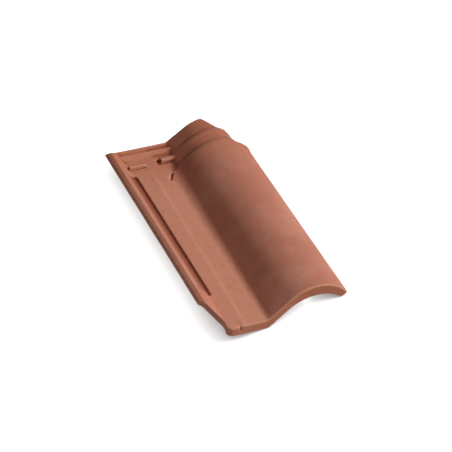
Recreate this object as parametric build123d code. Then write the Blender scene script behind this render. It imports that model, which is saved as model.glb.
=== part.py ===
from build123d import *
from dataclasses import dataclass
import os
from math import asin, atan2, cos, degrees, hypot, radians, sin, tan

# Interlocking clay roof tile: a flat pan between a raised wing and a half-round roll,
# pressed and fired in one piece. All sizes are millimetres and all angles degrees.
# The tile is drawn as it is laid: X runs across it from the wing to the lip of the roll,
# Y from the tail to the head, and Z is the normal of the pan, from the foot of the tail lip.
# At the end it is turned on to the three points that it lies on when it is put on a floor.

# The whole tile
tile_length = 410
tile_width = 203
clay = 11.5
overrun = 20

# Roll: a half-round hood whose left flank runs straight down to the pan, and stands
# a little steeper and further right, with a softer foot, towards the head
roll_radius = 60.5
roll_axis_height = -3
flank_angle = 41.5
lip_angle = 36
lip_round = 3
hollow_round = 6
tail_foot_round = 8
head_foot_round = 24
flank_drift = 5.4

# Collar and neck: two steps at the head of the roll, which the tail of the next tile covers.
# The roll and the collar each end in a low rim, with a ramp behind it down to the next step.
neck_length = 40
collar_length = 31
collar_step = 3.6
rim_height = 1.4
rim_ramp = 13
roll_rim_fall = 14
collar_rim_fall = 6.5
collar_drift = 3
collar_foot_drift = 4
collar_foot_round = 3

# Pan and the lip that hangs down at its tail
tail_lip_drop = 3.4
tail_lip_depth = 11
tail_crown_height = 17.5

# Wing: the raised left side that the roll of the next tile covers
wing_height = 28.5
wing_edge_height = 25.5
wing_thickness = 10.5
wing_draft = 2.5
wing_crest_inset = 9
wing_slope_angle = 42
wing_underside_width = 6.5
wing_round = 2
wing_foot_round = 4

# Groove along the foot of the wing, narrower towards the tail
groove_offset = 0.4
groove_width = 9.5
groove_depth = 4
groove_tail_width = 5.5
groove_tail_end = 74
groove_taper_length = 70
groove_head_end = 351

# Low ridge down the pan, and the nick in the tail face beside its end
ridge_x = 46.5
ridge_slant_angle = 0.9
ridge_width = 10
ridge_height = 0.9
ridge_length = 337
nick_width = 3.2
nick_depth = 2.2
nick_height = 9

# S-shaped cut-out of the wing at the tail
notch_inset = 23.5
notch_straight = 24
notch_length = 60
notch_inner_round = 22
tail_corner_round = 8

# Corner cut out of the collar and the neck at the head
head_cut_inset = 23
head_cut_straight = 24
head_cut_across = 48.5

# Rib across the head of the pan, lower towards the neck, with a channel and a rim behind it
head_rib_height = 5.4
head_rib_end_height = 4.4
head_rib_back = 15.5
head_rib_rise_length = 9
head_rib_draft = 2.5
head_channel_height = 1.2
head_rim_height = 3.4
head_rim_width = 2.4
head_rim_draft = 1.8
head_edge_height = 1.6

# Two raised stops on the head of the pan, one by the wing and one by the collar,
# each with a channel along its front and round its left end
stop_setback = 42.5
stop_draft = 1.2
channel_width = 3
channel_depth = 2.4
wing_stop_start = 25.5
wing_stop_length = 25
wing_stop_width = 6
wing_stop_height = 2.6
collar_stop_start = 76
collar_stop_width = 9
collar_stop_height = 4.6
collar_channel_end = 6.5

# Nail mark: a blunt dent in the pan beside the roll
nail_mark_width = 3.6
nail_mark_length = 17
nail_mark_depth = 3.5
nail_mark_turn_angle = 63
nail_mark_x = 78
nail_mark_setback = 76.5

# Lug under the head of the pan that hooks over the batten
lug_drop = 7.5
lug_width = 26
lug_thickness = 14
lug_draft = 2.5
lug_setback = 52
lug_offset = 36

# Places that follow from the sizes above
pan_height = tail_lip_drop + clay
roll_axis_x = tile_width - roll_radius * cos(radians(lip_angle))
main_length = tile_length - neck_length - collar_length
wing_foot_x = wing_crest_inset + (wing_height - pan_height) / tan(radians(wing_slope_angle))
wing_underside_height = wing_edge_height - wing_thickness + wing_draft
wing_hollow_x = wing_underside_width + (wing_underside_height - tail_lip_drop) / tan(radians(wing_slope_angle))
collar_end = main_length + collar_length
head_edge = pan_height + head_edge_height
groove_x = wing_foot_x + groove_offset
stop_front = tile_length - stop_setback
lug_x = notch_inset + lug_offset - lug_width / 2
lug_y = tile_length - lug_setback


@dataclass(frozen=True)
class Hood:
    """Section of the roll at one place along the tile: an arc with a straight flank down to the pan."""

    radius: float
    axis_x: float
    foot_x: float
    foot_round: float

    @property
    def slope(self):
        """Angle at which the flank rises from its foot to touch the arc."""
        run = self.axis_x - self.foot_x
        rise = roll_axis_height - pan_height
        return degrees(atan2(rise, run) + asin(self.radius / hypot(run, rise)))

    def raised(self, height):
        """The same section with its arc raised by a height."""
        return Hood(self.radius + height, self.axis_x, self.foot_x, self.foot_round)

    def on_arc(self, angle, depth):
        """Point at a depth under the arc, at an angle from the right upwards."""
        reach = self.radius - depth
        return (self.axis_x + reach * cos(radians(angle)), roll_axis_height + reach * sin(radians(angle)))

    def on_flank(self, height, depth):
        """Point at a height on the line that lies at a depth under the flank."""
        x, z = self.on_arc(90 + self.slope, depth)
        return (x - (z - height) / tan(radians(self.slope)), height)


def tail_foot_x():
    """Place on the pan where a flank of the chosen angle, touching the roll, comes down."""
    shoulder = radians(90 + flank_angle)
    x = roll_axis_x + roll_radius * cos(shoulder)
    z = roll_axis_height + roll_radius * sin(shoulder)
    return x - (z - pan_height) / tan(radians(flank_angle))


roll_tail = Hood(roll_radius, roll_axis_x, tail_foot_x(), tail_foot_round)
roll_head = Hood(roll_radius, roll_axis_x, roll_tail.foot_x + flank_drift, head_foot_round)
collar_hood = Hood(
    roll_head.radius - collar_step,
    roll_head.axis_x + collar_drift,
    roll_head.foot_x + collar_foot_drift,
    collar_foot_round,
)
neck_hood = Hood(
    collar_hood.radius - collar_step,
    collar_hood.axis_x + collar_drift,
    collar_hood.foot_x + collar_foot_drift,
    collar_foot_round,
)


def rounded(profile, corners):
    """Rounds corners of a flat profile, given as pairs of a point and a radius."""
    for point, radius in corners:
        corner = profile.vertices().sort_by_distance(Vector(*point))[0]
        profile = fillet(corner, radius)
    return profile


def across(y):
    """Plane of a section through the tile, seen from the tail."""
    return Plane(origin=(0, y, 0), x_dir=(1, 0, 0), z_dir=(0, -1, 0))


def along(x):
    """Plane of a section down the tile, seen from the lip of the roll."""
    return Plane(origin=(x, 0, 0), x_dir=(0, 1, 0), z_dir=(1, 0, 0))


def section(hood):
    """Closed section through the wing, the pan and a hood."""
    shoulder = 90 + hood.slope
    roll_foot = hood.on_flank(pan_height, 0)
    hollow_foot = hood.on_flank(tail_lip_drop, clay)
    lip_outside = hood.on_arc(lip_angle, 0)
    lip_inside = hood.on_arc(lip_angle, clay)
    outer_shoulder = hood.on_arc(shoulder, 0)
    inner_shoulder = hood.on_arc(shoulder, clay)
    wing_base = (0, wing_underside_height)
    wing_edge = (wing_draft, wing_edge_height)
    wing_crest = (wing_crest_inset, wing_height)
    wing_foot = (wing_foot_x, pan_height)
    wing_hollow = (wing_underside_width, wing_underside_height)
    wing_hollow_foot = (wing_hollow_x, tail_lip_drop)
    outline = Polyline(wing_base, wing_edge, wing_crest, wing_foot, roll_foot, outer_shoulder)
    outline += ThreePointArc(outer_shoulder, hood.on_arc(90, 0), lip_outside)
    outline += Line(lip_outside, lip_inside)
    outline += ThreePointArc(lip_inside, hood.on_arc(90, clay), inner_shoulder)
    outline += Polyline(inner_shoulder, hollow_foot, wing_hollow_foot, wing_hollow, wing_base)
    return rounded(make_face(outline), [
        (wing_base, wing_round),
        (wing_edge, wing_round),
        (wing_crest, wing_round),
        (wing_foot, wing_foot_round),
        (roll_foot, hood.foot_round),
        (hollow_foot, hollow_round),
        (wing_hollow_foot, hollow_round),
        (lip_outside, lip_round),
        (lip_inside, lip_round),
    ])


def tile_body():
    """Wing, pan and roll from the tail to the head, with the rims of the roll and the collar."""
    stations = [
        (0, roll_tail),
        (main_length - roll_rim_fall, roll_head),
        (main_length, roll_head.raised(rim_height)),
        (main_length + rim_ramp, collar_hood),
        (collar_end - collar_rim_fall, collar_hood),
        (collar_end, collar_hood.raised(rim_height)),
        (collar_end + rim_ramp, neck_hood),
        (tile_length, neck_hood),
    ]
    return loft([across(y) * section(hood) for y, hood in stations], ruled=True)


def head_cut():
    """Corner that the next tile's notch needs: along the right of the collar and slantwise over the neck."""
    side = tile_width - head_cut_inset
    bend = main_length + head_cut_straight
    slope = (tile_length - bend) / (head_cut_across - head_cut_inset)
    far_x = tile_width - head_cut_across - overrun
    far_y = tile_length + overrun * slope
    plan = make_face(Polyline(
        (side, main_length),
        (side, bend),
        (far_x, far_y),
        (tile_width + overrun, far_y),
        (tile_width + overrun, main_length),
        close=True,
    ))
    return extrude(plan, roll_radius + overrun)


def tail_lip_corners():
    """Left and right ends of the arch that the tail lip leaves open, and the left foot of the lip."""
    right = roll_tail.on_arc(lip_angle, clay)
    left = (2 * roll_axis_x - right[0], right[1])
    foot = (left[0] - left[1] / tan(radians(flank_angle)), 0)
    return left, right, foot


def tail_lip():
    """Thicker band at the tail, which hangs below the pan and inside the roll."""
    left, right, foot = tail_lip_corners()
    crown = roll_tail.on_arc(90, tail_crown_height)
    middle = clay / 2
    lip = lip_angle + degrees(lip_round / (roll_radius - middle))
    flank_start = roll_tail.on_flank(pan_height - middle, middle)
    shoulder = roll_tail.on_arc(90 + flank_angle, middle)
    lip_end = roll_tail.on_arc(lip, middle)
    outline = Polyline(left, foot, (notch_inset, 0), (notch_inset, pan_height - middle), flank_start, shoulder)
    outline += ThreePointArc(shoulder, roll_tail.on_arc(90, middle), lip_end)
    outline += Line(lip_end, right)
    outline += ThreePointArc(right, crown, left)
    return extrude(across(0) * make_face(outline), -tail_lip_depth)


def bar_profile(middle, width, draft, base, top):
    """Section of a bar that lies across the tile, narrower by the draft on each side at its top."""
    return make_face(Polyline(
        (middle - width / 2, base),
        (middle - width / 2 + draft, top),
        (middle + width / 2 - draft, top),
        (middle + width / 2, base),
        close=True,
    ))


def head_rib():
    """Rib, channel and rim across the head of the pan, from the slope of the wing to the flank of the neck."""
    crest = tile_length - head_rib_back
    rim_back = tile_length - head_rim_draft
    rim_front = rim_back - head_rim_width
    floor = pan_height + head_channel_height
    rim = pan_height + head_rim_height
    start = (wing_foot_x + wing_crest_inset) / 2
    end_top = pan_height + head_rib_end_height
    end = neck_hood.on_flank(end_top, 0)[0]

    def profile(top):
        """Section of the rib where its crest is at this height."""
        return make_face(Polyline(
            (crest - head_rib_rise_length, pan_height),
            (crest, top),
            (crest + head_rib_draft, floor),
            (rim_front - head_rim_draft, floor),
            (rim_front, rim),
            (rim_back, rim),
            (tile_length, head_edge),
            (tile_length, pan_height),
            close=True,
        ))

    return loft([along(start) * profile(pan_height + head_rib_height), along(end) * profile(end_top)], ruled=True)


def wing_bevel():
    """Wedge that slopes the head end of the wing."""
    rise = wing_height + overrun - head_edge
    profile = make_face(Polyline(
        (tile_length - rise, head_edge + rise),
        (tile_length + overrun, head_edge - overrun),
        (tile_length + overrun, head_edge + rise),
        close=True,
    ))
    return extrude(along(-overrun) * profile, overrun + wing_foot_x)


def stop(start, end, width, height):
    """Raised stop across the pan, from the floor of its channel."""
    base = pan_height - channel_depth
    profile = bar_profile(stop_front + width / 2, width, stop_draft, base, pan_height + height)
    return extrude(along(start) * profile, end - start)


def channel(start, end, width):
    """Channel in the pan around a stop that is this wide, open along its front and at its left end."""
    plan = make_face(Polyline(
        (start, stop_front - channel_width),
        (end, stop_front - channel_width),
        (end, stop_front + width),
        (start, stop_front + width),
        close=True,
    ))
    return extrude(Plane(origin=(0, 0, pan_height - channel_depth)) * plan, channel_depth + wing_height)


def head_stops():
    """The two stops on the head of the pan: the right one runs into the flank of the collar."""
    wing_end = wing_stop_start + wing_stop_length
    collar_end_x = collar_hood.on_flank(pan_height + collar_stop_height, clay / 2)[0]
    by_wing = stop(wing_stop_start, wing_end, wing_stop_width, wing_stop_height)
    by_collar = stop(collar_stop_start, collar_end_x, collar_stop_width, collar_stop_height)
    return by_wing + by_collar


def stop_channels():
    """The channels around the two stops."""
    wing_end = wing_stop_start + wing_stop_length
    by_wing = channel(wing_stop_start - channel_width, wing_end, wing_stop_width)
    by_collar = channel(collar_stop_start - collar_channel_end, collar_hood.foot_x, collar_stop_width)
    return by_wing + by_collar


def pan_ridge():
    """Low rounded ridge down the middle of the pan, from the tail."""
    half = ridge_width / 2
    base = pan_height - ridge_height
    outline = ThreePointArc((-half, pan_height), (0, pan_height + ridge_height), (half, pan_height))
    outline += Polyline((half, pan_height), (half, base), (-half, base), (-half, pan_height))
    ridge = extrude(across(0) * make_face(outline), -ridge_length)
    return Pos(ridge_x, 0, 0) * Rot(0, 0, -ridge_slant_angle) * ridge


def tail_nick():
    """Upright nick in the tail face, beside the end of the ridge."""
    place = Pos(ridge_x - ridge_width / 2, 0, pan_height + ridge_height - nick_height / 2)
    return place * Box(nick_width, 2 * nick_depth, nick_height)


def groove():
    """Long narrow groove along the foot of the wing."""
    left = groove_x - groove_width / 2
    right = groove_x + groove_width / 2
    plan = make_face(Polyline(
        (left, groove_head_end),
        (right, groove_head_end),
        (right, groove_tail_end),
        (right - groove_tail_width, groove_tail_end),
        (left, groove_tail_end + groove_taper_length),
        close=True,
    ))
    head_round = groove_width / 3
    plan = rounded(plan, [((left, groove_head_end), head_round), ((right, groove_head_end), head_round)])
    return extrude(Plane(origin=(0, 0, pan_height - groove_depth)) * plan, wing_height - pan_height)


def nail_mark():
    """Short slanting dent in the pan."""
    slot = Rot(0, 0, nail_mark_turn_angle) * SlotOverall(nail_mark_length, nail_mark_width)
    place = Plane(origin=(nail_mark_x, tile_length - nail_mark_setback, pan_height - nail_mark_depth))
    return extrude(place * slot, nail_mark_depth + overrun)


def tail_notch():
    """S-shaped piece cut out of the wing at the tail, with the corner of the tail beside it."""
    bend = (notch_inset, notch_straight)
    slope = (notch_length - notch_straight) / notch_inset
    outside = (-overrun, notch_length + overrun * slope)
    corner = notch_inset + tail_corner_round
    outline = Polyline((notch_inset, tail_corner_round), bend, outside, (-overrun, -overrun), (corner, -overrun))
    outline += Line((corner, -overrun), (corner, 0))
    outline += RadiusArc((corner, 0), (notch_inset, tail_corner_round), tail_corner_round)
    plan = rounded(make_face(outline), [(bend, notch_inner_round)])
    return extrude(Plane(origin=(0, 0, -overrun)) * plan, wing_height + 2 * overrun)


def batten_lug():
    """Tapered lug under the pan, near the head."""
    profile = bar_profile(lug_y, lug_thickness, lug_draft, tail_lip_drop, tail_lip_drop - lug_drop)
    return extrude(along(lug_x - lug_width / 2) * profile, lug_width)


def lying_plane():
    """Floor under the tile: the plane through its tail lip, the lip of its roll and its head."""
    _, right, foot = tail_lip_corners()
    tail_foot = Vector(foot[0], 0, foot[1])
    roll_lip = Vector(right[0], 0, right[1])
    hollow_x, hollow_z = neck_hood.on_flank(tail_lip_drop, clay)
    head_foot = Vector(hollow_x, tile_length, hollow_z)
    across_floor = roll_lip - tail_foot
    normal = across_floor.cross(head_foot - tail_foot)
    return Plane(origin=tail_foot, x_dir=across_floor, z_dir=normal)


def floor_shift(lying):
    """Shift that puts the middle of a lying tile's box over the origin, on the floor."""
    box = lying.bounding_box()
    return Vector(-box.center().X, -box.center().Y, -box.min.Z)


tile = tile_body() - head_cut() - stop_channels() + head_stops()
tile = tile + tail_lip() + head_rib() + pan_ridge() + batten_lug()
tile = tile - wing_bevel() - tail_notch() - groove() - nail_mark() - tail_nick()
tile = lying_plane().to_local_coords(tile)
resting_shift = floor_shift(tile)
tile = Pos(*resting_shift) * tile

os.makedirs("parts", exist_ok=True)
export_step(tile.solid(), "parts/clay_roof_tile.step")
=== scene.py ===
"""Dresses the packed clay roof tile: softened pressed-clay body, fired-clay finish, studio and camera."""

import logging
import math
from dataclasses import dataclass
from enum import Enum
from typing import Any, Optional

import bmesh
import bpy
from mathutils import Matrix, Vector, noise


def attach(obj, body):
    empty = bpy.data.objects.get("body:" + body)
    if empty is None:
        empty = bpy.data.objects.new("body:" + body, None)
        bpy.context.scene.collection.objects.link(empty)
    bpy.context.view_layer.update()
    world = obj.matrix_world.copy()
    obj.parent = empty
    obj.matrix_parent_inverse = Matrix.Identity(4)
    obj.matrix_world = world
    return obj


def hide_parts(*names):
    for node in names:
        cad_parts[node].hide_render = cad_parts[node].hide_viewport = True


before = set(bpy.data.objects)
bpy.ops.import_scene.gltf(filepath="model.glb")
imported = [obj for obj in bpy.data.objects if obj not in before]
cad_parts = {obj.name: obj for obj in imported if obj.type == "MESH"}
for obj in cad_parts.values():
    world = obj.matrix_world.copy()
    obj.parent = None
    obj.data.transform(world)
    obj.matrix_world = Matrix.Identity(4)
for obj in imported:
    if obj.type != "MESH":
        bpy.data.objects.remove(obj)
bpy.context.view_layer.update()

log = logging.getLogger("clay_roof_tile")

MM = 0.001
IMAGE_SIDE_PX = 452
UP = Vector((0.0, 0.0, 1.0))
WHITE = "#ffffff"
TRIANGLES_PER_QUAD = 2

# The sRGB curve: a straight toe, then a power
SRGB_TOE = 0.04045
SRGB_TOE_SLOPE = 12.92
SRGB_OFFSET = 0.055
SRGB_POWER = 2.4

# Sockets of a colour mix, by index because its other data types share their names
MIX_SHARE = 0
MIX_UNDER = 6
MIX_OVER = 7
MIX_COLOUR = 2


def linear(hex_colour: str) -> tuple[float, float, float, float]:
    """Turns an sRGB hex colour into linear RGBA.

    Args:
        hex_colour: Colour written as "#rrggbb".

    Returns:
        Linear red, green, blue and an alpha of 1.
    """
    channels = []
    for start in (1, 3, 5):
        value = int(hex_colour[start:start + 2], 16) / 255
        if value <= SRGB_TOE:
            channels.append(value / SRGB_TOE_SLOPE)
        else:
            channels.append(((value + SRGB_OFFSET) / (1 + SRGB_OFFSET)) ** SRGB_POWER)
    return (channels[0], channels[1], channels[2], 1.0)


def per_size(size_mm: float) -> float:
    """Gives the texture scale at which one cell of a pattern is this many millimetres wide."""
    return 1 / (size_mm * MM)


def add_node(
    tree: bpy.types.NodeTree,
    kind: str,
    settings: Optional[dict[str, Any]] = None,
    values: Optional[dict[Any, Any]] = None,
    links: Optional[dict[Any, bpy.types.NodeSocket]] = None,
) -> bpy.types.Node:
    """Adds a node with its settings, socket values and incoming links.

    Args:
        tree: Node tree that gets the node.
        kind: Blender's name of the node type.
        settings: Properties of the node itself.
        values: Values of input sockets, by name or index.
        links: Output sockets that feed input sockets, by name or index.

    Returns:
        The new node.
    """
    node = tree.nodes.new(kind)
    for name, value in (settings or {}).items():
        setattr(node, name, value)
    for socket, value in (values or {}).items():
        node.inputs[socket].default_value = value
    for socket, source in (links or {}).items():
        tree.links.new(source, node.inputs[socket])
    return node


class Relief(Enum):
    """Relief of the tile's surface that its mesh stores at each point, in millimetres."""

    HOLLOW = "hollow_mm"
    ARRIS = "arris_mm"


class Pattern(Enum):
    """Uneven patterns in fired clay."""

    PATCHES = "patches"
    MOTTLE = "mottle"
    GLOSS = "gloss"
    FRINGE = "fringe"
    GRIT = "grit"
    GRAIN = "grain"


@dataclass(frozen=True)
class ClayPattern:
    """Size of one pattern: the width of one patch, and the number of finer octaves in it."""

    kind: Pattern
    size_mm: float
    detail: float


@dataclass(frozen=True)
class ClayLayer:
    """Colour over the clay: the factor at which it starts, that at which it is full, and its share there."""

    colour: str
    start: float
    full: float
    share: float


@dataclass(frozen=True)
class FiredClayFinish:
    """Unglazed red earthenware, pressed and fired: matt, a little uneven in tone, with fine grit.

    The eye reads it by its soft patches of paler and browner red, pale arrises that are partly
    wear and partly painted highlight, and a sandy bloom that takes the gloss away. Painted shade
    darkens its creases, deep recesses, the foot of the collars and the wing's groove; the roll
    and the wing are darker than the pan as painted shade, for the way the light falls on them.
    """

    name: str = "fired_red_earthenware"
    pan: str = "#bf7f66"
    # Layers that start across the tile, in millimetres from its middle
    # Painted shade: the roll is darker than the pan for the way the light falls on it
    roll: ClayLayer = ClayLayer("#ae6e58", -30.0, -8.0, 1.0)
    # Painted shade: the wing is darker than the pan for the way the light falls on it
    wing: ClayLayer = ClayLayer("#b67560", -70.0, -86.0, 1.0)
    # Layers that start along the tile, in millimetres from its middle towards the head
    head_bloom: ClayLayer = ClayLayer("#a35c3a", 90.0, 175.0, 0.45)
    tail_face: ClayLayer = ClayLayer("#a35c3a", -202.5, -204.5, 0.5)
    # Layers that follow a pattern
    pale_patches: ClayLayer = ClayLayer("#c0836d", 0.5, 0.72, 0.5)
    brown_mottle: ClayLayer = ClayLayer("#aa684f", 0.48, 0.75, 0.4)
    drag_marks: ClayLayer = ClayLayer("#aa684f", 0.5, 0.85, 0.16)
    dark_grit: ClayLayer = ClayLayer("#8c5140", 0.66, 0.76, 0.1)
    pale_grit: ClayLayer = ClayLayer("#cc9782", 0.32, 0.24, 0.2)
    # Layers that follow the relief, in millimetres of its depth
    # Paler arrises: partly wear, partly painted highlight
    arris_wear_and_highlight: ClayLayer = ClayLayer("#c98c74", -0.1, -0.4, 0.6)
    # Painted shade in concave creases
    painted_crease_shade: ClayLayer = ClayLayer("#84452f", 0.2, 0.6, 0.75)
    # Painted shade in the deep recesses by the collars
    painted_recess_shade: ClayLayer = ClayLayer("#84452f", 0.62, 0.95, 0.7)
    # Painted shade at the foot of the collars
    painted_collar_shade: ClayLayer = ClayLayer("#84452f", 0.08, 0.42, 0.72)
    # Layers that fill a zone of the tile
    head_channel: ClayLayer = ClayLayer("#a35c3a", 0.0, 1.0, 0.55)
    # Painted shade in the wing's groove and down the slope beside it
    painted_groove_shade: ClayLayer = ClayLayer("#84452f", 0.0, 1.0, 0.7)
    # Edges of the zones: where each starts and where it is full, in millimetres from the middle
    collar_mm: tuple[float, float] = (128.0, 142.0)
    collar_side_mm: tuple[float, float] = (-46.0, -26.0)
    channel_mm: tuple[float, float] = (188.0, 192.5)
    channel_side_mm: tuple[float, float] = (-22.0, -40.0)
    groove_slope_mm: tuple[float, float] = (-87.5, -82.0)
    groove_wall_mm: tuple[float, float] = (-74.6, -76.4)
    groove_tail_mm: tuple[float, float] = (-136.0, -110.0)
    groove_head_mm: tuple[float, float] = (151.0, 138.0)
    bloom_spread_mm: float = 24.0
    tail_spread_mm: float = 1.0
    # Clay grit and grain are finer than a millimetre; they are drawn coarser so that they show in the render.
    patterns: tuple[ClayPattern, ...] = (
        ClayPattern(Pattern.PATCHES, 62.0, 2.0),
        ClayPattern(Pattern.MOTTLE, 11.0, 4.0),
        ClayPattern(Pattern.GLOSS, 11.0, 3.0),
        ClayPattern(Pattern.FRINGE, 11.0, 2.0),
        ClayPattern(Pattern.GRIT, 2.6, 1.0),
        ClayPattern(Pattern.GRAIN, 1.7, 4.0),
    )
    octave_share: float = 0.55
    drag_across_mm: float = 5.0
    drag_along_mm: float = 130.0
    drag_detail: float = 3.0
    roughness_low: float = 0.62
    roughness_high: float = 0.8
    index: float = 1.5
    gloss_level: float = 0.14
    grain_height_mm: float = 0.16

    def material(self) -> bpy.types.Material:
        """Builds the material.

        Returns:
            A new node material.
        """
        material = bpy.data.materials.new(self.name)
        material.use_nodes = True
        tree = material.node_tree
        tree.nodes.clear()
        place = add_node(tree, "ShaderNodeTexCoord").outputs["Object"]
        patterns = self._patterns(tree, place)
        roughness = add_node(
            tree, "ShaderNodeMapRange",
            values={"To Min": self.roughness_low, "To Max": self.roughness_high},
            links={"Value": patterns[Pattern.GLOSS]},
        )
        bump = add_node(
            tree, "ShaderNodeBump",
            values={"Strength": 1.0, "Distance": self.grain_height_mm * MM},
            links={"Height": patterns[Pattern.GRAIN]},
        )
        shader = add_node(
            tree, "ShaderNodeBsdfPrincipled",
            values={"IOR": self.index, "Specular IOR Level": self.gloss_level},
            links={
                "Base Color": self._colour(tree, place, patterns),
                "Roughness": roughness.outputs["Result"],
                "Normal": bump.outputs["Normal"],
            },
        )
        add_node(tree, "ShaderNodeOutputMaterial", links={"Surface": shader.outputs["BSDF"]})
        return material

    def _patterns(
        self, tree: bpy.types.NodeTree, place: bpy.types.NodeSocket
    ) -> dict[Pattern, bpy.types.NodeSocket]:
        """Adds the clay's patterns.

        Args:
            tree: Node tree of the material.
            place: Object coordinates.

        Returns:
            The factor of each pattern.
        """
        factors = {}
        for pattern in self.patterns:
            node = add_node(
                tree, "ShaderNodeTexNoise",
                values={
                    "Scale": per_size(pattern.size_mm),
                    "Detail": pattern.detail,
                    "Roughness": self.octave_share,
                },
                links={"Vector": place},
            )
            factors[pattern.kind] = node.outputs["Fac"]
        return factors

    def _drag(self, tree: bpy.types.NodeTree, place: bpy.types.NodeSocket) -> bpy.types.NodeSocket:
        """Adds the faint marks that pressing dragged along the tile.

        Args:
            tree: Node tree of the material.
            place: Object coordinates.

        Returns:
            The factor of the marks.
        """
        across = per_size(self.drag_across_mm)
        stretched = add_node(
            tree, "ShaderNodeMapping",
            values={"Scale": (across, per_size(self.drag_along_mm), across)},
            links={"Vector": place},
        )
        marks = add_node(
            tree, "ShaderNodeTexNoise",
            values={"Scale": 1.0, "Detail": self.drag_detail},
            links={"Vector": stretched.outputs["Vector"]},
        )
        return marks.outputs["Fac"]

    def _axes(self, tree: bpy.types.NodeTree, place: bpy.types.NodeSocket) -> bpy.types.NodeOutputs:
        """Adds the place on the tile in millimetres.

        Args:
            tree: Node tree of the material.
            place: Object coordinates.

        Returns:
            Sockets X across the tile, Y towards its head and Z upwards.
        """
        scaled = add_node(
            tree, "ShaderNodeVectorMath", settings={"operation": "SCALE"},
            values={"Scale": 1 / MM}, links={0: place},
        )
        return add_node(tree, "ShaderNodeSeparateXYZ", links={"Vector": scaled.outputs["Vector"]}).outputs

    def _headward(
        self,
        tree: bpy.types.NodeTree,
        along: bpy.types.NodeSocket,
        fringe: bpy.types.NodeSocket,
        spread_mm: float,
    ) -> bpy.types.NodeSocket:
        """Makes the distance towards the head uneven, so that what starts there has a fringe.

        Args:
            tree: Node tree of the material.
            along: Distance from the middle of the tile towards its head, in millimetres.
            fringe: Pattern of the fringe.
            spread_mm: Most that the fringe adds or takes away.

        Returns:
            The uneven distance in millimetres.
        """
        spread = add_node(
            tree, "ShaderNodeMapRange",
            values={"To Min": -spread_mm, "To Max": spread_mm}, links={"Value": fringe},
        )
        uneven = add_node(
            tree, "ShaderNodeMath", settings={"operation": "ADD"},
            links={0: along, 1: spread.outputs["Result"]},
        )
        return uneven.outputs[0]

    def _zone(
        self,
        tree: bpy.types.NodeTree,
        edges: list[tuple[bpy.types.NodeSocket, tuple[float, float]]],
        inside: Optional[bpy.types.NodeSocket] = None,
    ) -> bpy.types.NodeSocket:
        """Lets a factor through in one zone of the tile, and fades it to 0 across the zone's edges.

        Args:
            tree: Node tree of the material.
            edges: For each edge, the distance that it reads, and where the zone starts and is full.
            inside: Factor inside the zone, or None for 1.

        Returns:
            The factor.
        """
        zone = inside
        for distance, (start, full) in edges:
            rise = add_node(
                tree, "ShaderNodeMapRange", settings={"interpolation_type": "SMOOTHSTEP"},
                values={"From Min": start, "From Max": full}, links={"Value": distance},
            ).outputs["Result"]
            if zone is None:
                zone = rise
                continue
            zone = add_node(
                tree, "ShaderNodeMath", settings={"operation": "MULTIPLY"}, links={0: zone, 1: rise}
            ).outputs[0]
        return zone

    def _lay(
        self,
        tree: bpy.types.NodeTree,
        under: Optional[bpy.types.NodeSocket],
        layer: ClayLayer,
        factor: bpy.types.NodeSocket,
    ) -> bpy.types.NodeSocket:
        """Lays a layer over the colour so far.

        Args:
            tree: Node tree of the material.
            under: Colour so far, or None for the bare pan.
            layer: Layer that goes over it.
            factor: Factor that says where.

        Returns:
            The new colour.
        """
        share = add_node(
            tree, "ShaderNodeMapRange", settings={"interpolation_type": "SMOOTHSTEP"},
            values={"From Min": layer.start, "From Max": layer.full, "To Max": layer.share},
            links={"Value": factor},
        )
        links = {MIX_SHARE: share.outputs["Result"]}
        if under is not None:
            links[MIX_UNDER] = under
        mix = add_node(
            tree, "ShaderNodeMix", settings={"data_type": "RGBA"},
            values={MIX_UNDER: linear(self.pan), MIX_OVER: linear(layer.colour)}, links=links,
        )
        return mix.outputs[MIX_COLOUR]

    def _colour(
        self,
        tree: bpy.types.NodeTree,
        place: bpy.types.NodeSocket,
        patterns: dict[Pattern, bpy.types.NodeSocket],
    ) -> bpy.types.NodeSocket:
        """Builds the clay's colour from its layers.

        Args:
            tree: Node tree of the material.
            place: Object coordinates.
            patterns: Factor of each pattern.

        Returns:
            The colour.
        """
        axes = self._axes(tree, place)
        across, along = axes["X"], axes["Y"]
        relief = {
            kind: add_node(
                tree, "ShaderNodeAttribute", settings={"attribute_name": kind.value}
            ).outputs["Fac"]
            for kind in Relief
        }
        hollow, edge = relief[Relief.HOLLOW], relief[Relief.ARRIS]
        headward = self._headward(tree, along, patterns[Pattern.FRINGE], self.bloom_spread_mm)
        tail_end = self._headward(tree, along, patterns[Pattern.FRINGE], self.tail_spread_mm)
        channel = self._zone(tree, [(along, self.channel_mm), (across, self.channel_side_mm)])
        # Zone of the painted shade in and beside the wing's groove
        groove = self._zone(tree, [
            (across, self.groove_slope_mm),
            (across, self.groove_wall_mm),
            (along, self.groove_tail_mm),
            (along, self.groove_head_mm),
        ])
        # Masks of the painted shade in the deep recesses by the collars and at the collars' foot
        by_collars = self._zone(tree, [(headward, self.collar_mm)], hollow)
        by_roll = self._zone(tree, [(across, self.collar_side_mm)], by_collars)
        colour = None
        for layer, factor in (
            # Painted shade on the roll and the wing
            (self.roll, across),
            (self.wing, across),
            (self.pale_patches, patterns[Pattern.PATCHES]),
            (self.brown_mottle, patterns[Pattern.MOTTLE]),
            (self.drag_marks, self._drag(tree, place)),
            (self.head_bloom, headward),
            (self.head_channel, channel),
            (self.tail_face, tail_end),
            (self.dark_grit, patterns[Pattern.GRIT]),
            (self.pale_grit, patterns[Pattern.GRIT]),
            # Partly wear, partly painted highlight on the arrises
            (self.arris_wear_and_highlight, edge),
            # Painted shade: creases, the wing's groove, deep recesses and the foot of the collars
            (self.painted_crease_shade, edge),
            (self.painted_groove_shade, groove),
            (self.painted_recess_shade, by_collars),
            (self.painted_collar_shade, by_roll),
        ):
            colour = self._lay(tree, colour, layer, factor)
        return colour


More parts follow.
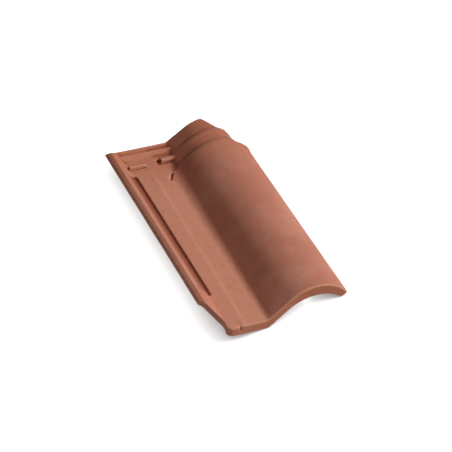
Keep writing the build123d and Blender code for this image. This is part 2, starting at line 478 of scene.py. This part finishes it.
@dataclass
class PressedTile:
    """The tile's body: the CAD shape with the soft arrises and slight unevenness of pressed clay."""

    node: str = "clay_roof_tile"
    name: str = "fired_clay_body"
    slot: str = "fired_clay"
    weld_mm: float = 0.01
    voxel_mm: float = 1.1
    softening_passes: int = 4
    softening: float = 0.5
    swell_mm: float = 45.0
    swell_height_mm: float = 0.22
    dimple_mm: float = 9.0
    dimple_height_mm: float = 0.05
    ridge_x_mm: float = -53.4
    ridge_slant: float = 0.0152
    ridge_half_mm: float = 5.0
    ridge_height_mm: float = 0.9
    run_out_mm: float = 17.0
    run_out_tail_mm: tuple[float, float] = (-203.0, -188.0)
    run_out_head_mm: tuple[float, float] = (134.0, 108.0)
    upper_face_rise: float = 0.85
    hollow_passes: int = 72
    arris_passes: int = 14
    triangles: int = 185000

    def build(self) -> bpy.types.Object:
        """Builds the body from a merged copy of the CAD mesh.

        Returns:
            The finished object, riding on the tile's body.
        """
        tile = self._remeshed(self._merged_copy())
        self._soften(tile.data)
        self._mark_relief(tile.data, Relief.HOLLOW, self.hollow_passes)
        self._mark_relief(tile.data, Relief.ARRIS, self.arris_passes)
        self._thin(tile)
        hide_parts(self.node)
        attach(tile, "root")
        return tile

    def dress(self, tile: bpy.types.Object, finish: FiredClayFinish) -> None:
        """Gives the body its finish."""
        tile.data.materials.clear()
        tile.data.materials.append(finish.material())

    def _merged_copy(self) -> bpy.types.Mesh:
        """Copies the CAD node's mesh and welds its loose triangles.

        Returns:
            The welded mesh.
        """
        mesh = bpy.data.meshes.new(self.name + "_welded")
        shape = bmesh.new()
        shape.from_mesh(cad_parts[self.node].data)
        bmesh.ops.remove_doubles(shape, verts=shape.verts, dist=self.weld_mm * MM)
        shape.to_mesh(mesh)
        shape.free()
        return mesh

    def _remeshed(self, mesh: bpy.types.Mesh) -> bpy.types.Object:
        """Remeshes the welded shape evenly, which takes the sharpness off its arrises.

        Args:
            mesh: Welded copy of the CAD mesh.

        Returns:
            A new object with the even mesh.
        """
        rough = bpy.data.objects.new(self.name + "_rough", mesh)
        bpy.context.collection.objects.link(rough)
        remesh = rough.modifiers.new("even_clay", "REMESH")
        remesh.mode = "VOXEL"
        remesh.voxel_size = self.voxel_mm * MM
        remesh.use_smooth_shade = True
        even = self._finished_mesh(rough)
        bpy.data.objects.remove(rough)
        bpy.data.meshes.remove(mesh)
        tile = bpy.data.objects.new(self.name, even)
        bpy.context.collection.objects.link(tile)
        return tile

    def _finished_mesh(self, piece: bpy.types.Object) -> bpy.types.Mesh:
        """Makes a mesh of a piece with its modifiers applied.

        Args:
            piece: Piece with live modifiers.

        Returns:
            The new mesh, named for the body.
        """
        bpy.context.view_layer.update()
        shown = piece.evaluated_get(bpy.context.evaluated_depsgraph_get())
        mesh = bpy.data.meshes.new_from_object(shown)
        mesh.name = self.name
        return mesh

    def _soften(self, mesh: bpy.types.Mesh) -> None:
        """Softens the arrises and lets the faces swell and dip a little, as hand-set clay does.

        Args:
            mesh: Even mesh of the tile.
        """
        shape = bmesh.new()
        shape.from_mesh(mesh)
        shape.normal_update()
        for vert in shape.verts:
            if vert.normal.z > self.upper_face_rise:
                vert.co += vert.normal * self._run_out(vert.co / MM) * MM
        self._smooth(shape, self.softening_passes)
        shape.normal_update()
        for vert in shape.verts:
            swell = noise.noise(vert.co * per_size(self.swell_mm)) * self.swell_height_mm
            dimple = noise.noise(vert.co * per_size(self.dimple_mm)) * self.dimple_height_mm
            vert.co += vert.normal * (swell + dimple) * MM
        for face in shape.faces:
            face.smooth = True
        shape.to_mesh(mesh)
        shape.free()

    def _run_out(self, place: Vector) -> float:
        """Gives the clay that runs the pan's ridge out into a long slope on the side of the wing.

        Args:
            place: Point on an upper face, in millimetres.

        Returns:
            Height to add there, in millimetres.
        """
        beside = place.x - self.ridge_x_mm - self.ridge_slant * place.y
        if not -self.run_out_mm < beside < 0:
            return 0.0
        slope = 1 + beside / self.run_out_mm
        ridge = max(0.0, 1 - (beside / self.ridge_half_mm) ** 2)
        ends = 1.0
        for start, full in (self.run_out_tail_mm, self.run_out_head_mm):
            ends *= min(max((place.y - start) / (full - start), 0.0), 1.0)
        return self.ridge_height_mm * max(slope - ridge, 0.0) * ends

    def _mark_relief(self, mesh: bpy.types.Mesh, relief: Relief, passes: int) -> None:
        """Stores how deep each point lies in a recess, in millimetres, and less than 0 out on an arris.

        Args:
            mesh: Softened mesh of the tile.
            relief: Relief that is stored.
            passes: Number of smoothing passes that wear the relief away; more see wider forms.
        """
        worn = bmesh.new()
        worn.from_mesh(mesh)
        self._smooth(worn, passes)
        depths = mesh.attributes.new(relief.value, "FLOAT", "POINT")
        for vert, worn_vert in zip(mesh.vertices, worn.verts):
            depths.data[vert.index].value = (worn_vert.co - vert.co).dot(vert.normal) / MM
        worn.free()

    def _thin(self, tile: bpy.types.Object) -> None:
        """Thins the mesh where it is nearly flat, down to its number of triangles.

        Args:
            tile: Tile with its softened mesh.
        """
        full = tile.data
        thin = tile.modifiers.new("thin_where_flat", "DECIMATE")
        thin.ratio = self.triangles / (TRIANGLES_PER_QUAD * len(full.polygons))
        tile.data = self._finished_mesh(tile)
        tile.modifiers.clear()
        bpy.data.meshes.remove(full)
        tile.data.name = self.name

    def _smooth(self, shape: bmesh.types.BMesh, passes: int) -> None:
        """Draws every point of a shape towards its neighbours.

        Args:
            shape: Shape that is smoothed.
            passes: Number of times.
        """
        for _ in range(passes):
            bmesh.ops.smooth_vert(
                shape, verts=shape.verts, factor=self.softening,
                use_axis_x=True, use_axis_y=True, use_axis_z=True,
            )


class LampRole(Enum):
    """What a lamp does in the studio."""

    KEY = "key"
    BACK = "back"
    SIDE = "side"


@dataclass(frozen=True)
class StudioLamp:
    """Square soft box that faces the middle of the tile."""

    role: LampRole
    direction: tuple[float, float, float]
    distance_m: float
    side_m: float
    power_w: float
    colour: str = WHITE

    def build(self) -> bpy.types.Object:
        """Builds the lamp.

        Returns:
            The lamp's object.
        """
        data = bpy.data.lights.new(self.role.value + "_softbox", "AREA")
        data.shape = "SQUARE"
        data.size = self.side_m
        data.energy = self.power_w
        data.color = linear(self.colour)[:3]
        lamp = bpy.data.objects.new(data.name, data)
        aim = Vector(self.direction).normalized()
        lamp.location = aim * self.distance_m
        lamp.rotation_euler = aim.to_track_quat("Z", "Y").to_euler()
        bpy.context.collection.objects.link(lamp)
        return lamp


@dataclass
class Studio:
    """Plain pale floor, white surroundings and soft light."""

    floor_side_m: float = 12.0
    floor_colour: str = "#cfcfcd"
    floor_lift: float = 0.965
    contact_reach_mm: float = 30.0
    contact_samples: int = 12
    surround_light: float = 0.03
    surround_colour: str = "#ffd2ba"
    lamps: tuple[StudioLamp, ...] = (
        StudioLamp(LampRole.KEY, (0.704, -0.375, 0.603), 4.5, 2.4, 258.0, "#f6fbff"),
        StudioLamp(LampRole.BACK, (0.0, 0.98, 0.14), 3.0, 1.6, 12.0),
        StudioLamp(LampRole.SIDE, (-0.94, -0.3, 0.05), 3.0, 0.8, 21.0),
    )

    def build(self) -> None:
        """Builds the floor, the surroundings and the lamps."""
        self._floor()
        self._surroundings()
        for lamp in self.lamps:
            lamp.build()

    def _floor(self) -> None:
        """Builds the floor, which looks white to the camera and still takes the tile's shadow."""
        shape = bmesh.new()
        bmesh.ops.create_grid(shape, x_segments=1, y_segments=1, size=self.floor_side_m / 2)
        mesh = bpy.data.meshes.new("studio_floor")
        shape.to_mesh(mesh)
        shape.free()
        mesh.materials.append(self._floor_paper())
        floor = bpy.data.objects.new("studio_floor", mesh)
        bpy.context.collection.objects.link(floor)

    def _floor_paper(self) -> bpy.types.Material:
        """Builds the floor's white paper, whose glow is cut back close to the tile as a painted contact
        shadow.

        Returns:
            A new node material.
        """
        material = bpy.data.materials.new("studio_floor_paper")
        material.use_nodes = True
        tree = material.node_tree
        tree.nodes.clear()
        paper = add_node(tree, "ShaderNodeBsdfDiffuse", values={"Color": linear(self.floor_colour)})
        # Painted contact shadow: the paper's glow falls off where the tile closes over the floor
        openness = add_node(
            tree, "ShaderNodeAmbientOcclusion", settings={"samples": self.contact_samples},
            values={"Distance": self.contact_reach_mm * MM},
        )
        bright = add_node(
            tree, "ShaderNodeMath", settings={"operation": "MULTIPLY"},
            values={1: self.floor_lift}, links={0: openness.outputs["AO"]},
        )
        lift = add_node(
            tree, "ShaderNodeMath", settings={"operation": "MULTIPLY"},
            links={0: bright.outputs[0], 1: self._seen(tree)},
        )
        glow = add_node(tree, "ShaderNodeEmission", links={"Strength": lift.outputs[0]})
        both = add_node(
            tree, "ShaderNodeAddShader", links={0: paper.outputs["BSDF"], 1: glow.outputs["Emission"]}
        )
        add_node(tree, "ShaderNodeOutputMaterial", links={"Surface": both.outputs["Shader"]})
        return material

    def _surroundings(self) -> None:
        """Lights the scene softly from all round, and looks white where it is seen."""
        world = bpy.data.worlds.new("studio_surround")
        world.use_nodes = True
        tree = world.node_tree
        tree.nodes.clear()
        seen = self._seen(tree)
        strength = add_node(
            tree, "ShaderNodeMapRange",
            values={"To Min": self.surround_light, "To Max": 1.0}, links={"Value": seen},
        )
        colour = add_node(
            tree, "ShaderNodeMix", settings={"data_type": "RGBA"},
            values={MIX_UNDER: linear(self.surround_colour), MIX_OVER: linear(WHITE)},
            links={MIX_SHARE: seen},
        )
        glow = add_node(
            tree, "ShaderNodeBackground",
            links={"Color": colour.outputs[MIX_COLOUR], "Strength": strength.outputs["Result"]},
        )
        add_node(tree, "ShaderNodeOutputWorld", links={"Surface": glow.outputs["Background"]})
        bpy.context.scene.world = world

    def _seen(self, tree: bpy.types.NodeTree) -> bpy.types.NodeSocket:
        """Adds a factor that is 1 for rays that show the background: camera, glossy and transmission rays.

        Args:
            tree: Node tree that gets the nodes.

        Returns:
            The factor.
        """
        path = add_node(tree, "ShaderNodeLightPath")
        seen = path.outputs["Is Camera Ray"]
        for ray in ("Is Glossy Ray", "Is Transmission Ray"):
            seen = add_node(
                tree, "ShaderNodeMath", settings={"operation": "MAXIMUM"},
                links={0: seen, 1: path.outputs[ray]},
            ).outputs[0]
        return seen


@dataclass
class PhotoCamera:
    """Camera at the photograph's viewing angle, for a square frame."""

    location_m: tuple[float, float, float] = (-0.6561, -2.2867, 2.3496)
    forward: tuple[float, float, float] = (0.1978, 0.6849, -0.7013)
    roll_deg: float = 11.02
    focal_px: float = 2324.7
    sensor_mm: float = 36.0

    def build(self) -> bpy.types.Object:
        """Builds the camera and makes it the scene's own.

        Returns:
            The camera's object.
        """
        data = bpy.data.cameras.new("photo_camera")
        data.sensor_fit = "HORIZONTAL"
        data.sensor_width = self.sensor_mm
        data.lens = self.focal_px / IMAGE_SIDE_PX * self.sensor_mm
        camera = bpy.data.objects.new("photo_camera", data)
        bpy.context.collection.objects.link(camera)
        ahead = Vector(self.forward).normalized()
        level = ahead.cross(UP).normalized()
        down = ahead.cross(level)
        roll = math.radians(self.roll_deg)
        right = level * math.cos(roll) + down * math.sin(roll)
        up = right.cross(ahead)
        turn = Matrix((right, up, -ahead)).transposed().to_4x4()
        camera.matrix_world = Matrix.Translation(self.location_m) @ turn
        bpy.context.scene.camera = camera
        return camera


def main() -> None:
    """Builds the camera, the studio and the tile."""
    logging.basicConfig(level=logging.INFO, format="%(name)s: %(message)s")
    bpy.context.scene.view_settings.view_transform = "Standard"
    PhotoCamera().build()
    Studio().build()
    maker = PressedTile()
    tile = maker.build()
    maker.dress(tile, FiredClayFinish())
    triangles = sum(len(face.vertices) - 2 for face in tile.data.polygons)
    log.info("%s: %d triangles", tile.name, triangles)


if __name__ == "__main__":
    main()
